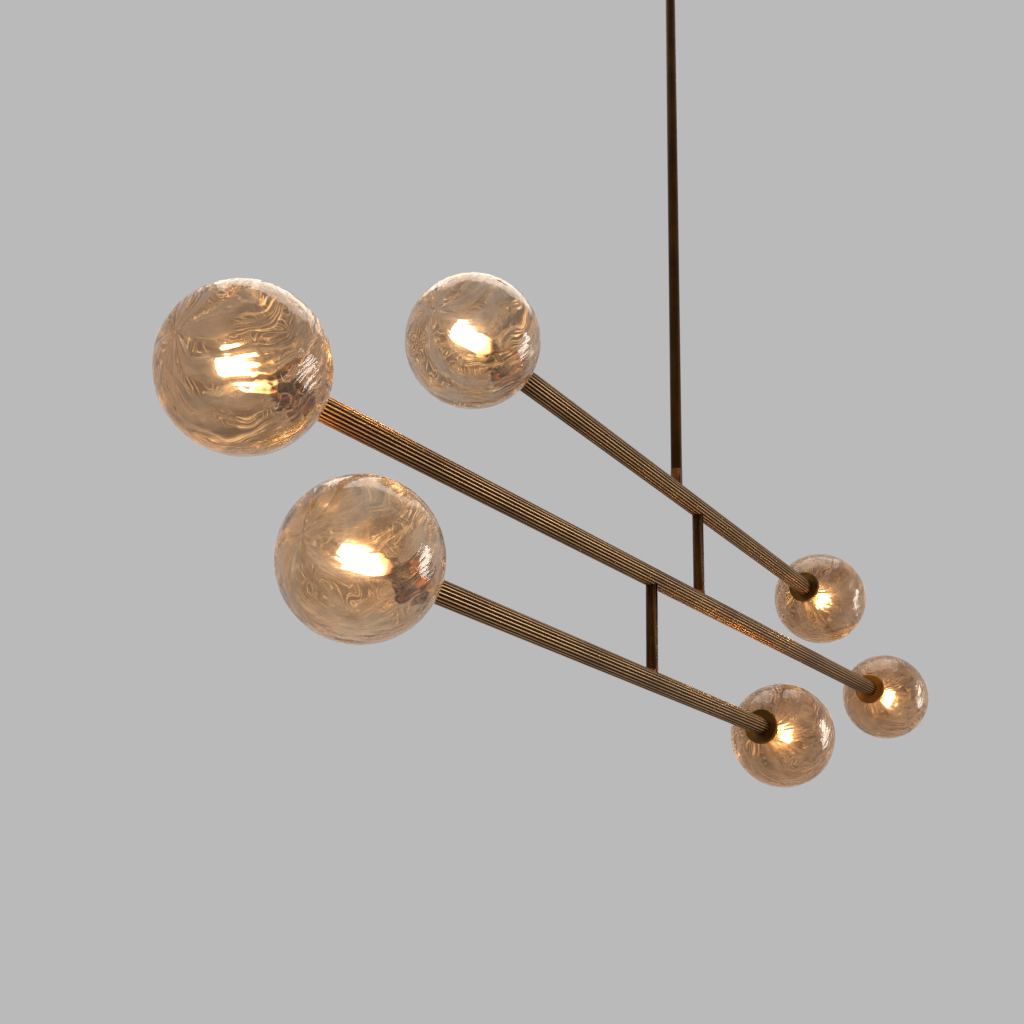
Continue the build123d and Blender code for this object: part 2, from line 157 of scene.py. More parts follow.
class Graph:
    """The node tree of a material or of the world, built from a few verbs."""

    def __init__(self, name: str, world: Optional[bpy.types.World] = None) -> None:
        """Empties the world's tree, or starts a new material.

        Args:
            name: The material's name.
            world: The world to work on instead.
        """
        self.material = world or bpy.data.materials.new(name)
        self.material.use_nodes = True
        self.tree = self.material.node_tree
        self.tree.nodes.clear()

    def node(
        self,
        kind: str,
        settings: Optional[dict] = None,
        inputs: Optional[dict] = None,
        output: Union[int, str] = 0,
    ) -> Wire:
        """Adds a node.

        Args:
            kind: The node's type.
            settings: The node's own properties, set first.
            inputs: Values or wires by socket name or number.
            output: The output to return.

        Returns:
            The chosen output.
        """
        made = self.tree.nodes.new(kind)
        for key, value in (settings or {}).items():
            setattr(made, key, value)
        for key, value in (inputs or {}).items():
            if isinstance(value, Wire):
                self.tree.links.new(value.socket, made.inputs[key])
            else:
                made.inputs[key].default_value = value
        return Wire(self, made.outputs[output])

    def coordinates(self, scale: Sequence[float] = (1, 1, 1), turn: float = 0.0) -> Wire:
        """Object coordinates, turned about Z and then stretched.

        Args:
            scale: Factors along X, Y and Z.
            turn: The turn about Z in radians.

        Returns:
            The vector.
        """
        place_in_object = self.node("ShaderNodeTexCoord", output="Object")
        inputs = {
            "Vector": place_in_object,
            "Rotation": (0, 0, -turn),
            "Scale": tuple(1 / factor for factor in scale),
        }
        return self.node("ShaderNodeMapping", {"vector_type": "TEXTURE"}, inputs)

    def cloud(
        self, vector: Wire, scale: float, detail: float = 3.0, rough: float = 0.5, curl: float = 0.0
    ) -> Wire:
        """Soft noise between about 0 and 1, drawn into curls where curl is above 0."""
        inputs = {
            "Vector": vector,
            "Scale": scale,
            "Detail": detail,
            "Roughness": rough,
            "Distortion": curl,
        }
        return self.node("ShaderNodeTexNoise", {}, inputs)

    def contours(self, field: Wire, count: float, width: float) -> Wire:
        """Thin lines of equal value in a field.

        Args:
            field: The field, between about 0 and 1.
            count: Lines per unit of the field.
            width: A line's share of the space between lines.

        Returns:
            1 on the lines and 0 between them.
        """
        wave = (field * count).unary("FRACT") - 0.5
        return 1 - wave.unary("ABSOLUTE").between(0.0, width)

    def shader_mix(self, factor: Union[Wire, float], first: Wire, second: Wire) -> Wire:
        """Mixes two shaders: a factor of 0 gives the first and 1 the second."""
        return self.node("ShaderNodeMixShader", {}, {0: factor, 1: first, 2: second})

    def mix(
        self,
        factor: Union[Wire, float],
        first: Union[Wire, Colour],
        second: Union[Wire, Colour],
    ) -> Wire:
        """Blends two colours.

        Args:
            factor: 0 gives the first colour and 1 the second.
            first: A colour or a wire.
            second: A colour or a wire.

        Returns:
            The blended colour.
        """
        inputs = {
            0: factor,
            MIX_FIRST: first if isinstance(first, Wire) else (*first, 1.0),
            MIX_SECOND: second if isinstance(second, Wire) else (*second, 1.0),
        }
        return self.node("ShaderNodeMix", {"data_type": "RGBA"}, inputs, MIX_RESULT)

    def bump(self, height: Wire, depth: float, strength: float = 1.0) -> Wire:
        """A bumped normal from a height.

        Args:
            height: The height, between about 0 and 1.
            depth: What a height of 1 stands for, in metres.
            strength: How much of the bump is used.

        Returns:
            The normal.
        """
        inputs = {"Height": height, "Distance": depth, "Strength": strength}
        return self.node("ShaderNodeBump", {}, inputs)

    def surface(self, **inputs: object) -> bpy.types.Material:
        """Ends the graph in a Principled shader.

        Args:
            inputs: Values or wires by socket name, with _ for each space.

        Returns:
            The finished material.
        """
        named = {key.replace("_", " "): value for key, value in inputs.items()}
        shader = self.node("ShaderNodeBsdfPrincipled", {}, named)
        self.node_output(shader)
        return self.material

    def node_output(self, shader: Wire, kind: str = "ShaderNodeOutputMaterial") -> None:
        """Links a shader to the surface of the material, or of the world."""
        output = self.tree.nodes.new(kind)
        self.tree.links.new(shader.socket, output.inputs["Surface"])


class Slot(Enum):
    """The material slots."""

    FLUTED_BRASS = "fluted_brass"
    DARK_BRONZE = "dark_bronze"
    COPPER_COLLAR = "copper_collar"
    STEEL = "steel"
    BLACKENED_STEEL = "blackened_steel"
    BARE_BRASS = "bare_brass"
    SMOKED_GLASS = "smoked_glass"
    FROSTED_GLASS = "frosted_glass"
    CERAMIC = "ceramic"


@dataclass(frozen=True)
class FlutedBrass:
    """Antique brass rubbed bright on the ridges, with patina and painted shade darkening the
    flutes.
    """

    name: str = "fluted_brass"
    turn: float = 0.0
    ridge: Colour = (0.50, 0.295, 0.125)
    flank: Colour = (0.075, 0.033, 0.010)
    # Flute bottoms: patina together with painted shade that stands in for the occlusion in the
    # grooves.
    groove_patina_and_shade: Colour = (0.010, 0.004, 0.0015)

    def material(self) -> bpy.types.Material:
        """Builds the finish for an arm whose mesh carries the ridge attribute."""
        graph = Graph(self.name)
        ridge = graph.node("ShaderNodeAttribute", {"attribute_name": "ridge"}, output="Fac")
        streaks = graph.cloud(graph.coordinates((0.8, 160, 160), self.turn), 3.0, 3.0, 0.5)
        patches = graph.cloud(graph.coordinates(), 12.0, 3.0, 0.5)
        wear = (streaks - 0.5) * 0.6 + (patches - 0.5) * 0.35
        worn = (ridge + wear).between(0.70, 1.05)
        # deep eases from the flute bottoms, darkened by patina and painted shade, up to the flanks.
        deep = (ridge + wear * 0.5).between(0.05, 0.62)
        colour = graph.mix(worn, graph.mix(deep, self.groove_patina_and_shade, self.flank), self.ridge)
        rough = 0.54 - worn * 0.15 + (patches - 0.5) * 0.10
        return graph.surface(
            Base_Color=colour,
            Metallic=1.0,
            Roughness=rough,
            Normal=graph.bump(streaks, 0.00002, 0.2),
        )


@dataclass(frozen=True)
class PatinatedBrass:
    """Smooth brass or bronze with a mottled patina and fine brushing."""

    name: str
    light: Colour
    dark: Colour
    rough: float = 0.32
    grain: tuple[float, float, float] = (900, 900, 20)
    grain_depth: float = 0.00003
    patch_scale: float = 30.0

    def material(self) -> bpy.types.Material:
        """Builds the finish."""
        graph = Graph(self.name)
        patches = graph.cloud(graph.coordinates(), self.patch_scale, 5.0, 0.62)
        specks = graph.cloud(graph.coordinates(), 700.0, 2.0, 0.5)
        brushed = graph.cloud(graph.coordinates(self.grain), 1.0, 3.0, 0.6)
        share = (patches + (specks - 0.5) * 0.25 + (brushed - 0.5) * 0.3).between(0.3, 0.72)
        colour = graph.mix(share, self.dark, self.light)
        rough = self.rough + (patches - 0.5) * 0.22 + (brushed - 0.5) * 0.12
        return graph.surface(
            Base_Color=colour,
            Metallic=1.0,
            Roughness=rough,
            Normal=graph.bump(brushed, self.grain_depth, 0.5),
        )


@dataclass(frozen=True)
class SmokedGlass:
    """Hand blown smoked glass: drawn streaks, curled hairlines, seeds and a thin warm haze."""

    name: str = "smoked_glass"
    pale: Colour = (0.80, 0.69, 0.57)
    smoke: Colour = (0.50, 0.39, 0.285)
    depth: float = 0.0022
    edge: Colour = (0.33, 0.21, 0.125)
    hairline: Colour = (1.0, 0.93, 0.80)
    haze: float = 0.001
    satin: float = 0.09
    twist: float = 1.5
    passing: Colour = (0.80, 0.68, 0.57)
    satin_rough: float = 0.3
    refraction: float = 1.47

    def material(self) -> bpy.types.Material:
        """Builds the glass for globes whose mesh carries the form attribute."""
        graph = Graph(self.name)
        form = graph.node("ShaderNodeAttribute", {"attribute_name": "form"}, output="Vector")
        x, y, z = (
            graph.node("ShaderNodeSeparateXYZ", {}, {0: form}, axis) for axis in ("X", "Y", "Z")
        )
        around = graph.node("ShaderNodeMath", {"operation": "ARCTAN2"}, {0: y, 1: x})
        wander = graph.cloud(form, 1.3, 2.0, 0.5)
        swirl = around + z * self.twist + (wander - 0.5) * 1.1
        streaks = self._streaks(graph, swirl, z, 2.6, 0.5)
        fine = self._streaks(graph, swirl, z, 6.0, 0.5)
        curls = graph.cloud(form, 1.8, 1.0, 0.5, 1.4)
        folds = graph.cloud(form, 1.7, 3.0, 0.55)
        seeds = graph.node(
            "ShaderNodeTexVoronoi", {"feature": "F1"}, {"Vector": form, "Scale": 9.0}, "Distance"
        )
        seed = 1 - seeds.between(0.015, 0.04)
        drawn = graph.contours(fine, 10.0, 0.16)
        curled = graph.contours(curls, 18.0, 0.13) * streaks.between(0.46, 0.60)
        glints = drawn * folds.between(0.58, 0.68)
        lines = drawn * folds.between(0.42, 0.60) * 0.10 + curled * 0.14
        lines = lines + glints * 0.24 + seed * 0.15
        height = streaks * 0.6 + fine * 0.2 + folds * 0.6 + curls * 0.2
        tone = (folds * 0.45 + streaks * 0.35 + fine * 0.2).between(0.44, 0.57)
        facing = graph.node("ShaderNodeLayerWeight", {}, {"Blend": 0.5}, "Facing")
        colour = graph.mix(tone, self.pale, self.smoke)
        colour = graph.mix(facing.between(0.66, 1.0), colour, self.edge)
        normal = graph.bump(height, self.depth, 0.8)
        clear, soft = (
            self._glass(graph, colour, normal, rough) for rough in (0.0, self.satin_rough)
        )
        glass = graph.shader_mix(self.satin, clear, soft)
        tint = {"Color": (*self.hairline, 1.0)}
        lit_in_front = graph.node("ShaderNodeBsdfDiffuse", {}, tint)
        lit_behind = graph.node("ShaderNodeBsdfTranslucent", {}, tint)
        scatter = graph.shader_mix(0.5, lit_in_front, lit_behind)
        body = graph.shader_mix(lines + self.haze, glass, scatter)
        lamp_ray = graph.node("ShaderNodeLightPath", output="Is Shadow Ray")
        passing = graph.node("ShaderNodeBsdfTransparent", {}, {"Color": (*self.passing, 1.0)})
        graph.node_output(graph.shader_mix(lamp_ray, body, passing))
        return graph.material

    def _glass(self, graph: Graph, colour: Wire, normal: Wire, rough: float) -> Wire:
        """A clear or satin glass shader."""
        inputs = {
            "Base Color": colour,
            "Roughness": rough,
            "IOR": self.refraction,
            "Transmission Weight": 1.0,
            "Normal": normal,
        }
        return graph.node("ShaderNodeBsdfPrincipled", {}, inputs)

    @staticmethod
    def _streaks(graph: Graph, swirl: Wire, height: Wire, count: float, stretch: float) -> Wire:
        """Noise drawn out along the swirl, without a seam where the angle closes."""
        inputs = {
            "X": swirl.unary("COSINE") * count,
            "Y": swirl.unary("SINE") * count,
            "Z": height * stretch,
        }
        vector = graph.node("ShaderNodeCombineXYZ", {}, inputs)
        return graph.cloud(vector, 1.0, 2.0, 0.5)


@dataclass(frozen=True)
class LitBulb:
    """Frosted glass, lit from inside, a little dimmer and warmer at its base."""

    name: str = "lit_bulb"
    hot: Colour = (1.0, 0.86, 0.62)
    warm: Colour = (1.0, 0.55, 0.20)
    unlit: Colour = (0.05, 0.022, 0.008)
    strength: float = 9.0

    def material(self) -> bpy.types.Material:
        """Builds the finish for a bulb whose mesh carries the glow attribute."""
        graph = Graph(self.name)
        glow = graph.node("ShaderNodeAttribute", {"attribute_name": "glow"}, output="Fac")
        frost = graph.cloud(graph.coordinates(), 900.0, 2.0, 0.5)
        colour = graph.mix(glow.between(0.0, 0.7), self.unlit, self.warm)
        colour = graph.mix(glow.between(0.4, 1.0), colour, self.hot)
        return graph.surface(
            Base_Color=graph.mix(frost, (0.9, 0.88, 0.82), (0.96, 0.95, 0.91)),
            Roughness=0.45,
            Emission_Color=colour,
            Emission_Strength=self.strength,
            Normal=graph.bump(frost, 0.00002, 0.5),
        )


@dataclass(frozen=True)
class PlainMetal:
    """Plated or blackened steel, or machined brass."""

    name: str
    colour: Colour
    worn: Colour
    rough: float = 0.35

    def material(self) -> bpy.types.Material:
        """Builds the finish."""
        graph = Graph(self.name)
        patches = graph.cloud(graph.coordinates(), 160.0, 4.0, 0.6)
        lines = graph.cloud(graph.coordinates((60, 1400, 1400)), 1.0, 3.0, 0.6)
        colour = graph.mix(patches.between(0.35, 0.7), self.colour, self.worn)
        rough = self.rough + (patches - 0.5) * 0.25
        return graph.surface(
            Base_Color=colour,
            Metallic=1.0,
            Roughness=rough,
            Normal=graph.bump(lines, 0.00002, 0.5),
        )


@dataclass(frozen=True)
class Ceramic:
    """Unglazed white steatite with a fine pressed grain."""

    name: str = "ceramic"

    def material(self) -> bpy.types.Material:
        """Builds the finish."""
        graph = Graph(self.name)
        grain = graph.cloud(graph.coordinates(), 1600.0, 3.0, 0.6)
        stain = graph.cloud(graph.coordinates(), 80.0, 3.0, 0.5)
        colour = graph.mix(stain.between(0.4, 0.75), (0.86, 0.84, 0.79), (0.74, 0.70, 0.62))
        return graph.surface(
            Base_Color=colour, Roughness=0.6, Normal=graph.bump(grain, 0.00004, 0.6)
        )


class Finishes:
    """Every finish of the chandelier, made once and handed out."""

    def __init__(self) -> None:
        """Builds the materials."""
        self.bronze = PatinatedBrass(
            "dark_bronze", (0.066, 0.027, 0.006), (0.036, 0.014, 0.003), 0.44, patch_scale=14.0
        ).material()
        self.collar = PatinatedBrass(
            "copper_collar", (0.20, 0.075, 0.024), (0.11, 0.038, 0.011), 0.40, grain_depth=0.000005
        ).material()
        self.disc = PatinatedBrass(
            "disc_brass", (0.22, 0.112, 0.028), (0.085, 0.04, 0.010), 0.42, (300, 300, 300)
        ).material()
        self.cup = PatinatedBrass(
            "cup_brass", (0.055, 0.025, 0.008), (0.02, 0.008, 0.003), 0.30, (60, 900, 900)
        ).material()
        self.glass = SmokedGlass().material()
        self.deep_glass = SmokedGlass(
            "deep_smoked_glass", (0.66, 0.52, 0.39), (0.29, 0.20, 0.135), 0.005
        ).material()
        self.folded_glass = SmokedGlass(
            "folded_smoked_glass", (0.70, 0.58, 0.46), (0.42, 0.32, 0.23), 0.0065
        ).material()
        self.grey_glass = SmokedGlass(
            "grey_smoked_glass", (0.72, 0.64, 0.56), (0.42, 0.345, 0.275)
        ).material()
        self.bulb = LitBulb().material()
        self.ceramic = Ceramic().material()
        self.steel = PlainMetal("steel", (0.60, 0.60, 0.58), (0.42, 0.42, 0.41), 0.34).material()
        self.black = PlainMetal(
            "blackened_steel", (0.05, 0.045, 0.04), (0.14, 0.12, 0.10)
        ).material()
        self.bare = PlainMetal(
            "bare_brass", (0.72, 0.52, 0.24), (0.55, 0.38, 0.17), 0.28
        ).material()


@dataclass
class Lathe:
    """Turns a piece about Z: a circle, extruded and resized along an outline."""

    name: str
    sides: int = 72

    def turn(self, outline: Outline, closed: bool = False) -> bpy.types.Object:
        """Makes the turned piece.

        Args:
            outline: (height, radius) points in metres; a radius of 0 closes that end.
            closed: Whether the outline returns to its first point, as for a ring.

        Returns:
            The piece, about its own Z axis.
        """
        points = [*outline, outline[0]] if closed else list(outline)
        tiny = 1e-5
        clear_selection()
        first = max(points[0][1], tiny)
        bpy.ops.mesh.primitive_circle_add(
            vertices=self.sides, radius=first, location=(0, 0, points[0][0])
        )
        piece = bpy.context.object
        piece.name = self.name
        piece.data.name = self.name
        bpy.ops.object.transform_apply(location=True, rotation=True, scale=True)
        bpy.ops.object.mode_set(mode="EDIT")
        bpy.ops.mesh.select_all(action="SELECT")
        for (z0, r0), (z1, r1) in zip(points, points[1:]):
            bpy.ops.mesh.extrude_region_move(TRANSFORM_OT_translate={"value": (0, 0, z1 - z0)})
            factor = max(r1, tiny) / max(r0, tiny)
            bpy.ops.transform.resize(value=(factor, factor, 1), center_override=(0, 0, z1))
        bpy.ops.mesh.select_all(action="SELECT")
        bpy.ops.mesh.remove_doubles(threshold=2.5e-5)
        bpy.ops.mesh.normals_make_consistent(inside=False)
        bpy.ops.object.mode_set(mode="OBJECT")
        return piece


def arc(
    centre: tuple[float, float], radius: float, start: float, stop: float, steps: int
) -> list[tuple[float, float]]:
    """Points of an arc in an outline.

    Args:
        centre: (height, radius) of the arc's centre.
        radius: The arc's radius.
        start: First angle in degrees, from the height axis.
        stop: Last angle in degrees.
        steps: Number of spans.

    Returns:
        The points, both ends included.
    """
    angles = [math.radians(start + (stop - start) * i / steps) for i in range(steps + 1)]
    return [(centre[0] + radius * math.cos(a), centre[1] + radius * math.sin(a)) for a in angles]


def dress(
    piece: bpy.types.Object, body: str, slot: Slot, material: bpy.types.Material, *nodes: str
) -> bpy.types.Object:
    """Gives a new piece its finish, its body and the nodes that it stands for.

    Args:
        piece: The finished mesh object, in place.
        body: The CAD body that it rides on.
        slot: The material slot; not used.
        material: Its finish.
        nodes: The CAD nodes that it replaces.

    Returns:
        The piece.
    """
    piece.data.materials.clear()
    piece.data.materials.append(material)
    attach(piece, body)
    if nodes:
        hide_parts(*nodes)
    log.info("%s rides on %s: %d faces", piece.name, body, len(piece.data.polygons))
    return piece


@dataclass
class RefinedNode:
    """A copy of a CAD node with its triangles joined and shaded smooth."""

    node: str
    crease: float = 28.0

    def build(self, body: str, slot: Slot, material: bpy.types.Material) -> bpy.types.Object:
        """Copies, joins and dresses the node.

        Args:
            body: The CAD body of the node.
            slot: The material slot.
            material: Its finish.

        Returns:
            The new piece.
        """
        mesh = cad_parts[self.node].data.copy()
        mesh.name = f"{self.node}_finished"
        piece = bpy.data.objects.new(f"{self.node}_finished", mesh)
        bpy.context.scene.collection.objects.link(piece)
        activate(piece)
        bpy.ops.object.mode_set(mode="EDIT")
        bpy.ops.mesh.select_all(action="SELECT")
        bpy.ops.mesh.remove_doubles(threshold=1e-6)
        bpy.ops.object.mode_set(mode="OBJECT")
        smooth(piece, self.crease)
        return dress(piece, body, slot, material, self.node)


class Blown(Enum):
    """How a globe came off the pipe."""

    CLEAR = "clear"
    FOLDED = "folded"
    GREY = "grey"
    DEEP = "deep"

    def glass(self, finishes: Finishes) -> bpy.types.Material:
        """The glass for this kind of globe."""
        return {
            Blown.CLEAR: finishes.glass,
            Blown.FOLDED: finishes.folded_glass,
            Blown.GREY: finishes.grey_glass,
            Blown.DEEP: finishes.deep_glass,
        }[self]


@dataclass
class Lamp:
    """One lamp end: disc, collar, cup, holder, bulb and globe on a common axis."""

    name: str
    arm: str
    end: Vector
    outward: Vector
    globe_diameter: float
    seed: float
    blown: Blown
    glass_wall: float = 2.5
    neck_height: float = 5.6
    neck_radius: float = 21.5
    neck_rim: float = 2.0
    pin_radius: float = 0.75
    pin_length: float = 8.0
    pin_offset: float = 4.5
    pin_height: float = 27.3
    glow_start: float = 52.0
    glow_rise: float = 22.0
    light_height: float = 84.0
    light_radius: float = 70.0
    light_watts: float = 0.75
    light_colour: Colour = (1.0, 0.52, 0.17)

    @property
    def matrix(self) -> Matrix:
        """The transform from the lamp's own axis to the model."""
        return axis_frame(self.end, self.outward)

    def _turned(
        self, part: str, outline: Outline, closed: bool, sides: int = 72
    ) -> bpy.types.Object:
        """Turns a part from an outline in millimetres."""
        points = [(z * MM, r * MM) for z, r in outline]
        return Lathe(f"{self.name}_{part}", sides).turn(points, closed)

    def disc(self, material: bpy.types.Material) -> bpy.types.Object:
        """The dished disc, with a rolled rim and its hub."""
        outline = [(0.0, 5.2), (0.0, 13.2), (-0.25, 14.2)]
        outline += [(-0.25 - 1.3 * t**1.6, 14.2 + 9.2 * t) for t in (0.2, 0.4, 0.6, 0.8, 1.0)]
        outline += arc((-0.3, 23.8), 1.2, 170, 75, 5)
        outline += arc((2.8, 23.8), 1.2, 90, 10, 5)
        outline += [(4.0, 19.1), (11.6, 19.1), (12.0, 18.7), (12.0, 5.2)]
        piece = self._turned("disc", outline, True, 96)
        smooth(piece, 30)
        place(piece, self.matrix)
        return dress(piece, self.arm, Slot.FLUTED_BRASS, material, f"{self.name}_fitter_disc")

    def cup(self, material: bpy.types.Material) -> bpy.types.Object:
        """The lamp cup, with a rolled lip and a turned line below it."""
        outline = [(-12.0, 3.0), (-12.0, 5.0), (12.0, 5.0), (12.0, 12.2), (12.5, 12.7)]
        outline += [(46.0, 12.7), (46.2, 12.45), (46.8, 12.45), (47.0, 12.7), (51.4, 12.7)]
        outline += arc((51.4, 12.1), 0.6, 90, -90, 6)
        outline += [(14.0, 11.5), (14.0, 3.0)]
        piece = self._turned("cup", outline, True, 96)
        smooth(piece, 30)
        place(piece, self.matrix)
        return dress(piece, self.arm, Slot.FLUTED_BRASS, material, f"{self.name}_lamp_cup")

    def collar(self, material: bpy.types.Material) -> bpy.types.Object:
        """The threaded ring in the globe's neck."""
        outline = [(4.3, 19.4), (4.3, 23.7), (4.6, 24.0), (5.2, 24.0), (5.5, 23.7), (5.5, 21.4)]
        for turn in range(6):
            low = 6.0 + turn * 1.05
            outline += [(low, 21.4), (low + 0.35, 21.1), (low + 0.7, 21.4)]
        outline += [(12.5, 21.4), (12.8, 21.1), (12.8, 19.4)]
        piece = self._turned("collar", outline, True, 96)
        smooth(piece, 30)
        place(piece, self.matrix)
        body = f"{self.name}_globe"
        return dress(piece, body, Slot.FLUTED_BRASS, material, f"{self.name}_globe_collar")

    def bulb(self, material: bpy.types.Material) -> bpy.types.Object:
        """The capsule bulb, with its pressed base and two pins."""
        outline = [(31.3, 0.0), (31.3, 7.4), (31.9, 8.0), (39.3, 8.0)]
        outline += [(39.8, 8.3), (41.3, 9.4), (42.6, 10.15)]
        outline += [(z, 10.4) for z in (44.0, 52.0, 57.0, 62.0, 68.0, 74.0, 84.0)]
        outline += arc((96.3, 3.4), 7.0, 90, 0, 10)
        outline += [(103.3, 0.0)]
        piece = self._turned("capsule_bulb", outline, False, 48)
        for side in (-1, 1):
            clear_selection()
            bpy.ops.mesh.primitive_cylinder_add(
                vertices=16,
                radius=self.pin_radius * MM,
                depth=self.pin_length * MM,
                location=(0, side * self.pin_offset * MM, self.pin_height * MM),
            )
            pin = bpy.context.object
            bpy.ops.object.transform_apply(location=True, rotation=True, scale=True)
            bpy.ops.object.mode_set(mode="EDIT")
            bpy.ops.mesh.select_all(action="SELECT")
            bpy.ops.mesh.bevel(offset=0.2 * MM, segments=2, affect="EDGES")
            bpy.ops.object.mode_set(mode="OBJECT")
            activate(piece)
            pin.select_set(True)
            bpy.ops.object.join()
        glow = piece.data.attributes.new("glow", "FLOAT", "POINT")
        rises = ((v.co.z / MM - self.glow_start) / self.glow_rise for v in piece.data.vertices)
        glow.data.foreach_set("value", [min(max(rise, 0.0), 1.0) for rise in rises])
        smooth(piece, 35)
        place(piece, self.matrix)
        node = f"{self.name}_bulb"
        return dress(piece, node, Slot.FROSTED_GLASS, material, node)

    def globe(self, material: bpy.types.Material) -> bpy.types.Object:
        """The blown globe: a sphere opened at its neck, given a wall of uneven thickness."""
        radius = self.globe_diameter / 2
        mouth = self.neck_radius + self.neck_rim
        centre = self.neck_height + math.sqrt(radius**2 - mouth**2)
        clear_selection()
        bpy.ops.mesh.primitive_uv_sphere_add(
            segments=160, ring_count=100, radius=radius * MM, location=(0, 0, centre * MM)
        )
        piece = bpy.context.object
        piece.name = f"{self.name}_blown_globe"
        piece.data.name = piece.name
        bpy.ops.object.transform_apply(location=True, rotation=True, scale=True)
        bpy.ops.object.mode_set(mode="EDIT")
        bpy.ops.mesh.select_all(action="SELECT")
        bpy.ops.mesh.bisect(
            plane_co=(0, 0, self.neck_height * MM),
            plane_no=(0, 0, 1),
            clear_inner=True,
            use_fill=False,
        )
        bpy.ops.mesh.select_all(action="DESELECT")
        bpy.ops.mesh.select_non_manifold(extend=False)
        factor = self.neck_radius / mouth
        bpy.ops.mesh.extrude_region_move(TRANSFORM_OT_translate={"value": (0, 0, 0)})
        bpy.ops.transform.resize(
            value=(factor, factor, 1), center_override=(0, 0, self.neck_height * MM)
        )
        bpy.ops.object.mode_set(mode="OBJECT")
        self._shape_wall(piece, centre, radius)
        smooth(piece, 50)
        self._keep_form(piece, centre, radius)
        place(piece, self.matrix)
        node = f"{self.name}_globe"
        return dress(piece, node, Slot.SMOKED_GLASS, material, node)

    def _shape_wall(self, piece: bpy.types.Object, centre: float, radius: float) -> None:
        """Thickens the wall inwards, unevenly along twisted folds.

        Args:
            piece: The open sphere.
            centre: Height of its centre in millimetres.
            radius: Its radius in millimetres.
        """
        group = piece.vertex_groups.new(name="wall")
        for vertex in piece.data.vertices:
            away = (vertex.co - Vector((0, 0, centre * MM))) / (radius * MM)
            angle = math.atan2(away.y, away.x) + 1.5 * away.z + self.seed
            across = math.sqrt(max(0.0, 1 - min(1.0, away.z**2)))
            wander = noise.noise(away * 1.7 + Vector((self.seed, 0, 0)))
            fold = math.sin(7 * angle + 4.0 * wander) * across
            weight = 0.80 + 0.13 * fold + 0.12 * noise.noise(away * 3.1 + Vector((0, self.seed, 0)))
            group.add([vertex.index], min(max(weight, 0.4), 1.0), "REPLACE")
        apply_modifier(
            piece,
            "SOLIDIFY",
            thickness=self.glass_wall * MM,
            offset=-1.0,
            use_even_offset=False,
            vertex_group="wall",
            use_rim=True,
        )

    def _keep_form(self, piece: bpy.types.Object, centre: float, radius: float) -> None:
        """Stores each point's place in the globe, which the glass pattern follows."""
        form = piece.data.attributes.new("form", "FLOAT_VECTOR", "POINT")
        turn = Matrix.Rotation(self.seed, 3, "Z")
        values: list[float] = []
        for vertex in piece.data.vertices:
            away = (vertex.co - Vector((0, 0, centre * MM))) / (radius * MM)
            values.extend(turn @ away)
        form.data.foreach_set("vector", values)

    def light(self) -> None:
        """The bulb's light on the glass and brass round it, which rides with the bulb."""
        clear_selection()
        bpy.ops.object.light_add(type="POINT", radius=self.light_radius * MM)
        lamp = bpy.context.object
        lamp.name = f"{self.name}_bulb_light"
        lamp.data.energy = self.light_watts
        lamp.data.color = self.light_colour
        lamp.data.use_shadow = False
        lamp.visible_camera = False
        lamp.visible_transmission = False
        middle_of_glow = Vector((0, 0, self.light_height * MM))
        lamp.matrix_world = Matrix.Translation(self.matrix @ middle_of_glow)
        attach(lamp, f"{self.name}_bulb")

    def build(self, finishes: Finishes) -> None:
        """Builds and dresses every piece of the lamp."""
        self.disc(finishes.disc)
        self.cup(finishes.cup)
        self.collar(finishes.cup)
        RefinedNode(f"{self.name}_lampholder").build(self.arm, Slot.CERAMIC, finishes.ceramic)
        self.bulb(finishes.bulb)
        self.globe(self.blown.glass(finishes))
        self.light()


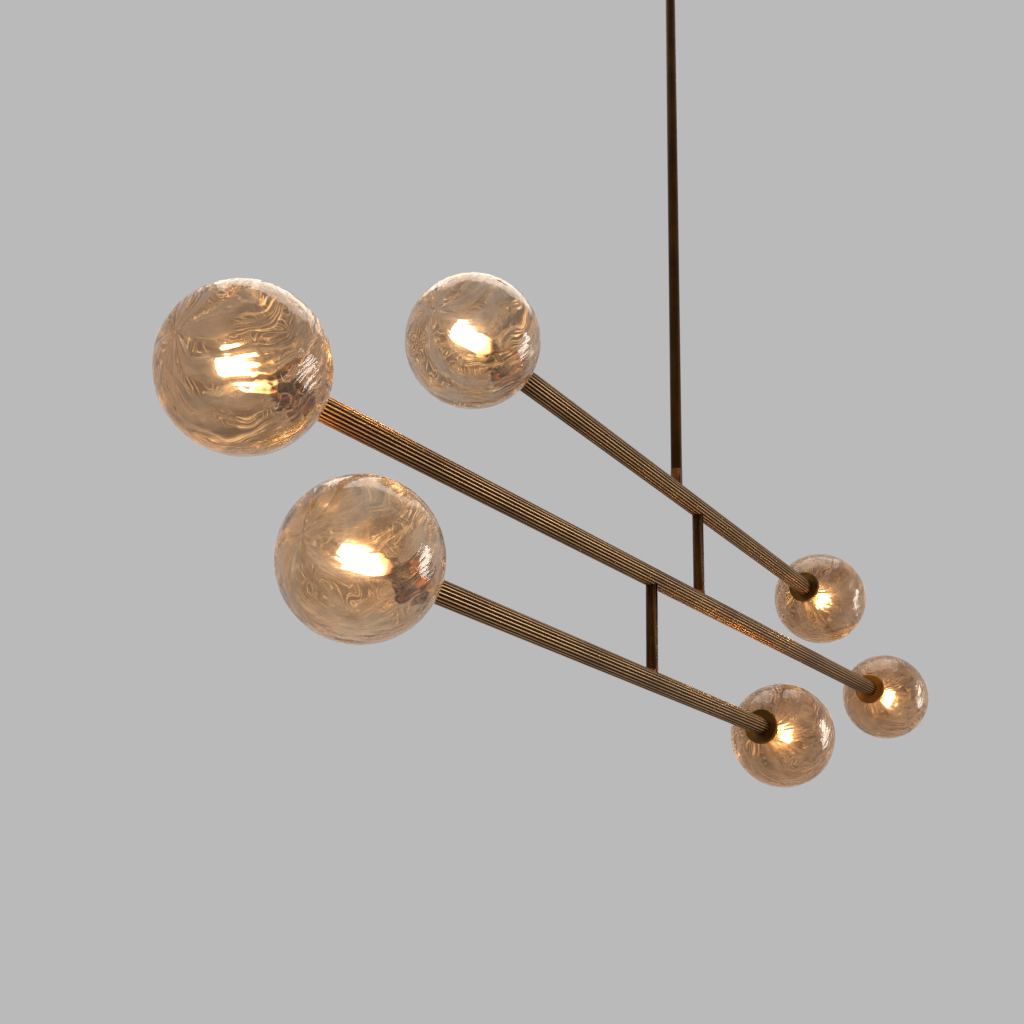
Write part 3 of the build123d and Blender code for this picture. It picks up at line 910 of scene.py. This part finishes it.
@dataclass
class Arm:
    """One fluted arm with the lamp at each end."""

    name: str
    pivot: Vector
    degrees: float
    left: float
    right: float
    left_globe: float
    right_globe: float
    left_blown: Blown = Blown.CLEAR
    diameter: float = 25.4
    flutes: int = 20
    flute_depth: float = 0.9
    flute_radius: float = 1.9

    @property
    def body(self) -> str:
        """The CAD body that carries the arm."""
        return f"{self.name}_arm"

    @property
    def direction(self) -> Vector:
        """The level unit direction of the arm's right end."""
        angle = math.radians(self.degrees)
        return Vector((math.cos(angle), math.sin(angle), 0))

    def _profile(self) -> list[tuple[float, float]]:
        """(angle, radius) of half a flute, from the middle of a ridge to the bottom of a flute."""
        reach = self.diameter / 2 - self.flute_depth + self.flute_radius
        half = math.pi / self.flutes
        points = [(half, self.diameter / 2), (half * 0.86, self.diameter / 2 - 0.03)]
        for share in (0.74, 0.6, 0.42, 0.22, 0.0):
            angle = half * share
            inside = self.flute_radius**2 - (reach * math.sin(angle)) ** 2
            points.append((angle, reach * math.cos(angle) - math.sqrt(max(inside, 0.0))))
        return points

    def tube(self) -> bpy.types.Object:
        """The fluted tube: a circle drawn in to the flutes' profile, then extruded."""
        half = self._profile()
        ring = [(-a, r) for a, r in half] + [(a, r) for a, r in reversed(half[1:-1])]
        pitch = 2 * math.pi / self.flutes
        clear_selection()
        bpy.ops.mesh.primitive_circle_add(
            vertices=self.flutes * len(ring), radius=self.diameter / 2 * MM, location=(0, 0, 0)
        )
        piece = bpy.context.object
        piece.name = f"{self.name}_fluted_tube"
        piece.data.name = piece.name
        for index, vertex in enumerate(piece.data.vertices):
            flute, step = divmod(index, len(ring))
            angle = flute * pitch + ring[step][0]
            radius = ring[step][1] * MM
            vertex.co = (radius * math.cos(angle), radius * math.sin(angle), 0)
        bpy.ops.object.mode_set(mode="EDIT")
        bpy.ops.mesh.select_all(action="SELECT")
        bpy.ops.transform.translate(value=(0, 0, -self.left * MM))
        bpy.ops.mesh.edge_face_add()
        bpy.ops.mesh.extrude_region_move(
            TRANSFORM_OT_translate={"value": (0, 0, (self.left + self.right) * MM)}
        )
        bpy.ops.mesh.select_all(action="SELECT")
        bpy.ops.mesh.normals_make_consistent(inside=False)
        bpy.ops.object.mode_set(mode="OBJECT")
        ridge = piece.data.attributes.new("ridge", "FLOAT", "POINT")
        floor = self.diameter / 2 - self.flute_depth
        ridge.data.foreach_set(
            "value",
            [(v.co.xy.length / MM - floor) / self.flute_depth for v in piece.data.vertices],
        )
        smooth(piece, 32)
        place(piece, axis_frame(self.pivot * MM, self.direction))
        return piece

    def lamps(self) -> list[Lamp]:
        """The two lamps of this arm."""
        ends = (
            ("left", -self.direction, self.left, self.left_globe),
            ("right", self.direction, self.right, self.right_globe),
        )
        return [
            Lamp(
                f"{self.name}_{side}",
                self.body,
                (self.pivot + outward * reach) * MM,
                outward,
                globe,
                seed=globe * 0.37 + self.pivot.z,
                blown=Blown.DEEP if side == "right" else self.left_blown,
            )
            for side, outward, reach, globe in ends
        ]

    def build(self, finishes: Finishes) -> None:
        """Builds the arm and its lamps."""
        brass = FlutedBrass(f"{self.name}_fluted_brass", -math.radians(self.degrees)).material()
        dress(self.tube(), self.body, Slot.FLUTED_BRASS, brass, f"{self.name}_arm")
        RefinedNode(f"{self.name}_arm_inserts").build(self.body, Slot.BARE_BRASS, finishes.bare)
        RefinedNode(f"{self.name}_post").build(self.body, Slot.COPPER_COLLAR, finishes.collar)
        for lamp in self.lamps():
            lamp.build(finishes)


@dataclass
class Suspension:
    """The stem, the spacers between tiers, the ball swivel and the canopy."""

    finishes: Finishes

    def build(self) -> None:
        """Dresses each piece of the suspension."""
        bronze = self.finishes.bronze
        steel = self.finishes.steel
        plan = (
            ("crossbar", "canopy", Slot.STEEL, steel),
            ("crossbar_screws", "canopy", Slot.STEEL, steel),
            ("canopy", "canopy", Slot.DARK_BRONZE, bronze),
            ("canopy_cap_nuts", "canopy", Slot.DARK_BRONZE, bronze),
            ("swivel_housing", "swivel", Slot.DARK_BRONZE, bronze),
            ("swivel_cap", "swivel", Slot.DARK_BRONZE, bronze),
            ("swivel_lock_nut", "swivel", Slot.DARK_BRONZE, bronze),
            ("swivel_ball", "stem", Slot.DARK_BRONZE, bronze),
            ("stem", "stem", Slot.DARK_BRONZE, bronze),
            ("stem_set_screws", "stem", Slot.BLACKENED_STEEL, self.finishes.black),
            ("upper_spacer", "upper_arm", Slot.DARK_BRONZE, bronze),
            ("upper_spacer_set_screws", "upper_arm", Slot.BLACKENED_STEEL, self.finishes.black),
            ("lower_spacer", "middle_arm", Slot.DARK_BRONZE, bronze),
            ("lower_spacer_set_screws", "middle_arm", Slot.BLACKENED_STEEL, self.finishes.black),
        )
        for node, body, slot, material in plan:
            RefinedNode(node).build(body, slot, material)


@dataclass
class Studio:
    """The pale floor, the soft lights and the camera at the photograph's angle."""

    floor_height: float = -3.0
    camera_place: tuple[float, float, float] = (-1.450, -0.788, -1.635)
    heading: float = 36.22
    pitch: float = 19.93
    roll: float = 1.89
    lens: float = 45.7
    backdrop: Colour = (0.49, 0.49, 0.495)
    floor_radius: float = 9.0
    sensor_width: float = 36.0
    aim: tuple[float, float, float] = (0.0, 0.0, -1.1)

    def camera(self) -> None:
        """Stands the camera where the photograph was taken."""
        yaw, rise, roll = (math.radians(v) for v in (self.heading, self.pitch, self.roll))
        forward = Vector(
            (math.cos(yaw) * math.cos(rise), math.sin(yaw) * math.cos(rise), math.sin(rise))
        )
        level = forward.cross(UP).normalized()
        right = level * math.cos(roll) + level.cross(forward) * math.sin(roll)
        above = right.cross(forward)
        clear_selection()
        bpy.ops.object.camera_add()
        camera = bpy.context.object
        camera.name = "photo_camera"
        camera.data.lens = self.lens
        camera.data.sensor_width = self.sensor_width
        camera.data.clip_start = 0.02
        camera.data.clip_end = 100.0
        rotation = Matrix((right, above, -forward)).transposed().to_4x4()
        camera.matrix_world = Matrix.Translation(Vector(self.camera_place)) @ rotation
        bpy.context.scene.camera = camera

    def soft_light(
        self,
        name: str,
        at: tuple[float, float, float],
        size: tuple[float, float],
        watts: float,
        colour: Colour,
    ) -> None:
        """Adds one soft box that faces the studio's aim.

        Args:
            name: The lamp's name.
            at: Its place.
            size: Width and height in metres.
            watts: Its power.
            colour: Its colour.
        """
        clear_selection()
        bpy.ops.object.light_add(type="AREA", location=at)
        lamp = bpy.context.object
        lamp.name = name
        lamp.data.shape = "RECTANGLE"
        lamp.data.size, lamp.data.size_y = size
        lamp.data.energy = watts
        lamp.data.color = colour
        lamp.visible_camera = False
        lamp.rotation_euler = (Vector(self.aim) - Vector(at)).to_track_quat("-Z", "Y").to_euler()

    def floor(self) -> None:
        """A wide pale floor."""
        clear_selection()
        bpy.ops.mesh.primitive_circle_add(
            vertices=96,
            radius=self.floor_radius,
            fill_type="NGON",
            location=(0, 0, self.floor_height),
        )
        floor = bpy.context.object
        floor.name = "studio_floor"
        graph = Graph("studio_floor")
        grain = graph.cloud(graph.coordinates(), 3.0, 3.0, 0.5)
        colour = graph.mix(grain, (0.66, 0.655, 0.645), (0.70, 0.695, 0.685))
        floor.data.materials.append(graph.surface(Base_Color=colour, Roughness=0.8))

    def surroundings(self) -> None:
        """A plain grey backdrop all round, the same for every ray."""
        world = bpy.data.worlds.new("studio_world")
        bpy.context.scene.world = world
        graph = Graph("studio_world", world)
        backdrop = graph.node("ShaderNodeBackground", {}, {"Color": (*self.backdrop, 1.0)})
        graph.node_output(backdrop, "ShaderNodeOutputWorld")

    def build(self) -> None:
        """Sets the stage."""
        bpy.context.scene.view_settings.view_transform = "Standard"
        self.surroundings()
        self.floor()
        self.soft_light("side_softbox", (3.27, -3.56, -0.9), (1.3, 2.6), 100.0, (1.0, 0.98, 0.95))
        self.soft_light("top_softbox", (0.5, 0.4, 1.3), (3.0, 2.0), 36.0, (1.0, 0.94, 0.84))
        self.camera()


def dress_globes_and_arms(finishes: Finishes) -> None:
    """Builds the three tiers from top to bottom."""
    upper = Vector((0, 0, -1006.2))
    middle = Vector((67.3593, 4.35593, -1141.2))
    lower = Vector((-61.6407, 4.35593, -1276.2))
    arms = (
        Arm("upper", upper, 3.7, 425.5, 489.5, 142.0, 151.0, Blown.GREY),
        Arm("middle", middle, 0.0, 756.0, 617.0, 154.0, 145.0, Blown.FOLDED),
        Arm("lower", lower, 1.6, 478.5, 329.0, 156.0, 152.0),
    )
    for arm in arms:
        arm.build(finishes)


def main() -> None:
    """Builds the looks round the frame, in order."""
    logging.basicConfig(level=logging.INFO, format="%(name)s: %(message)s")
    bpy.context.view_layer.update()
    Studio().build()
    finishes = Finishes()
    dress_globes_and_arms(finishes)
    Suspension(finishes).build()


if __name__ == "__main__":
    main()
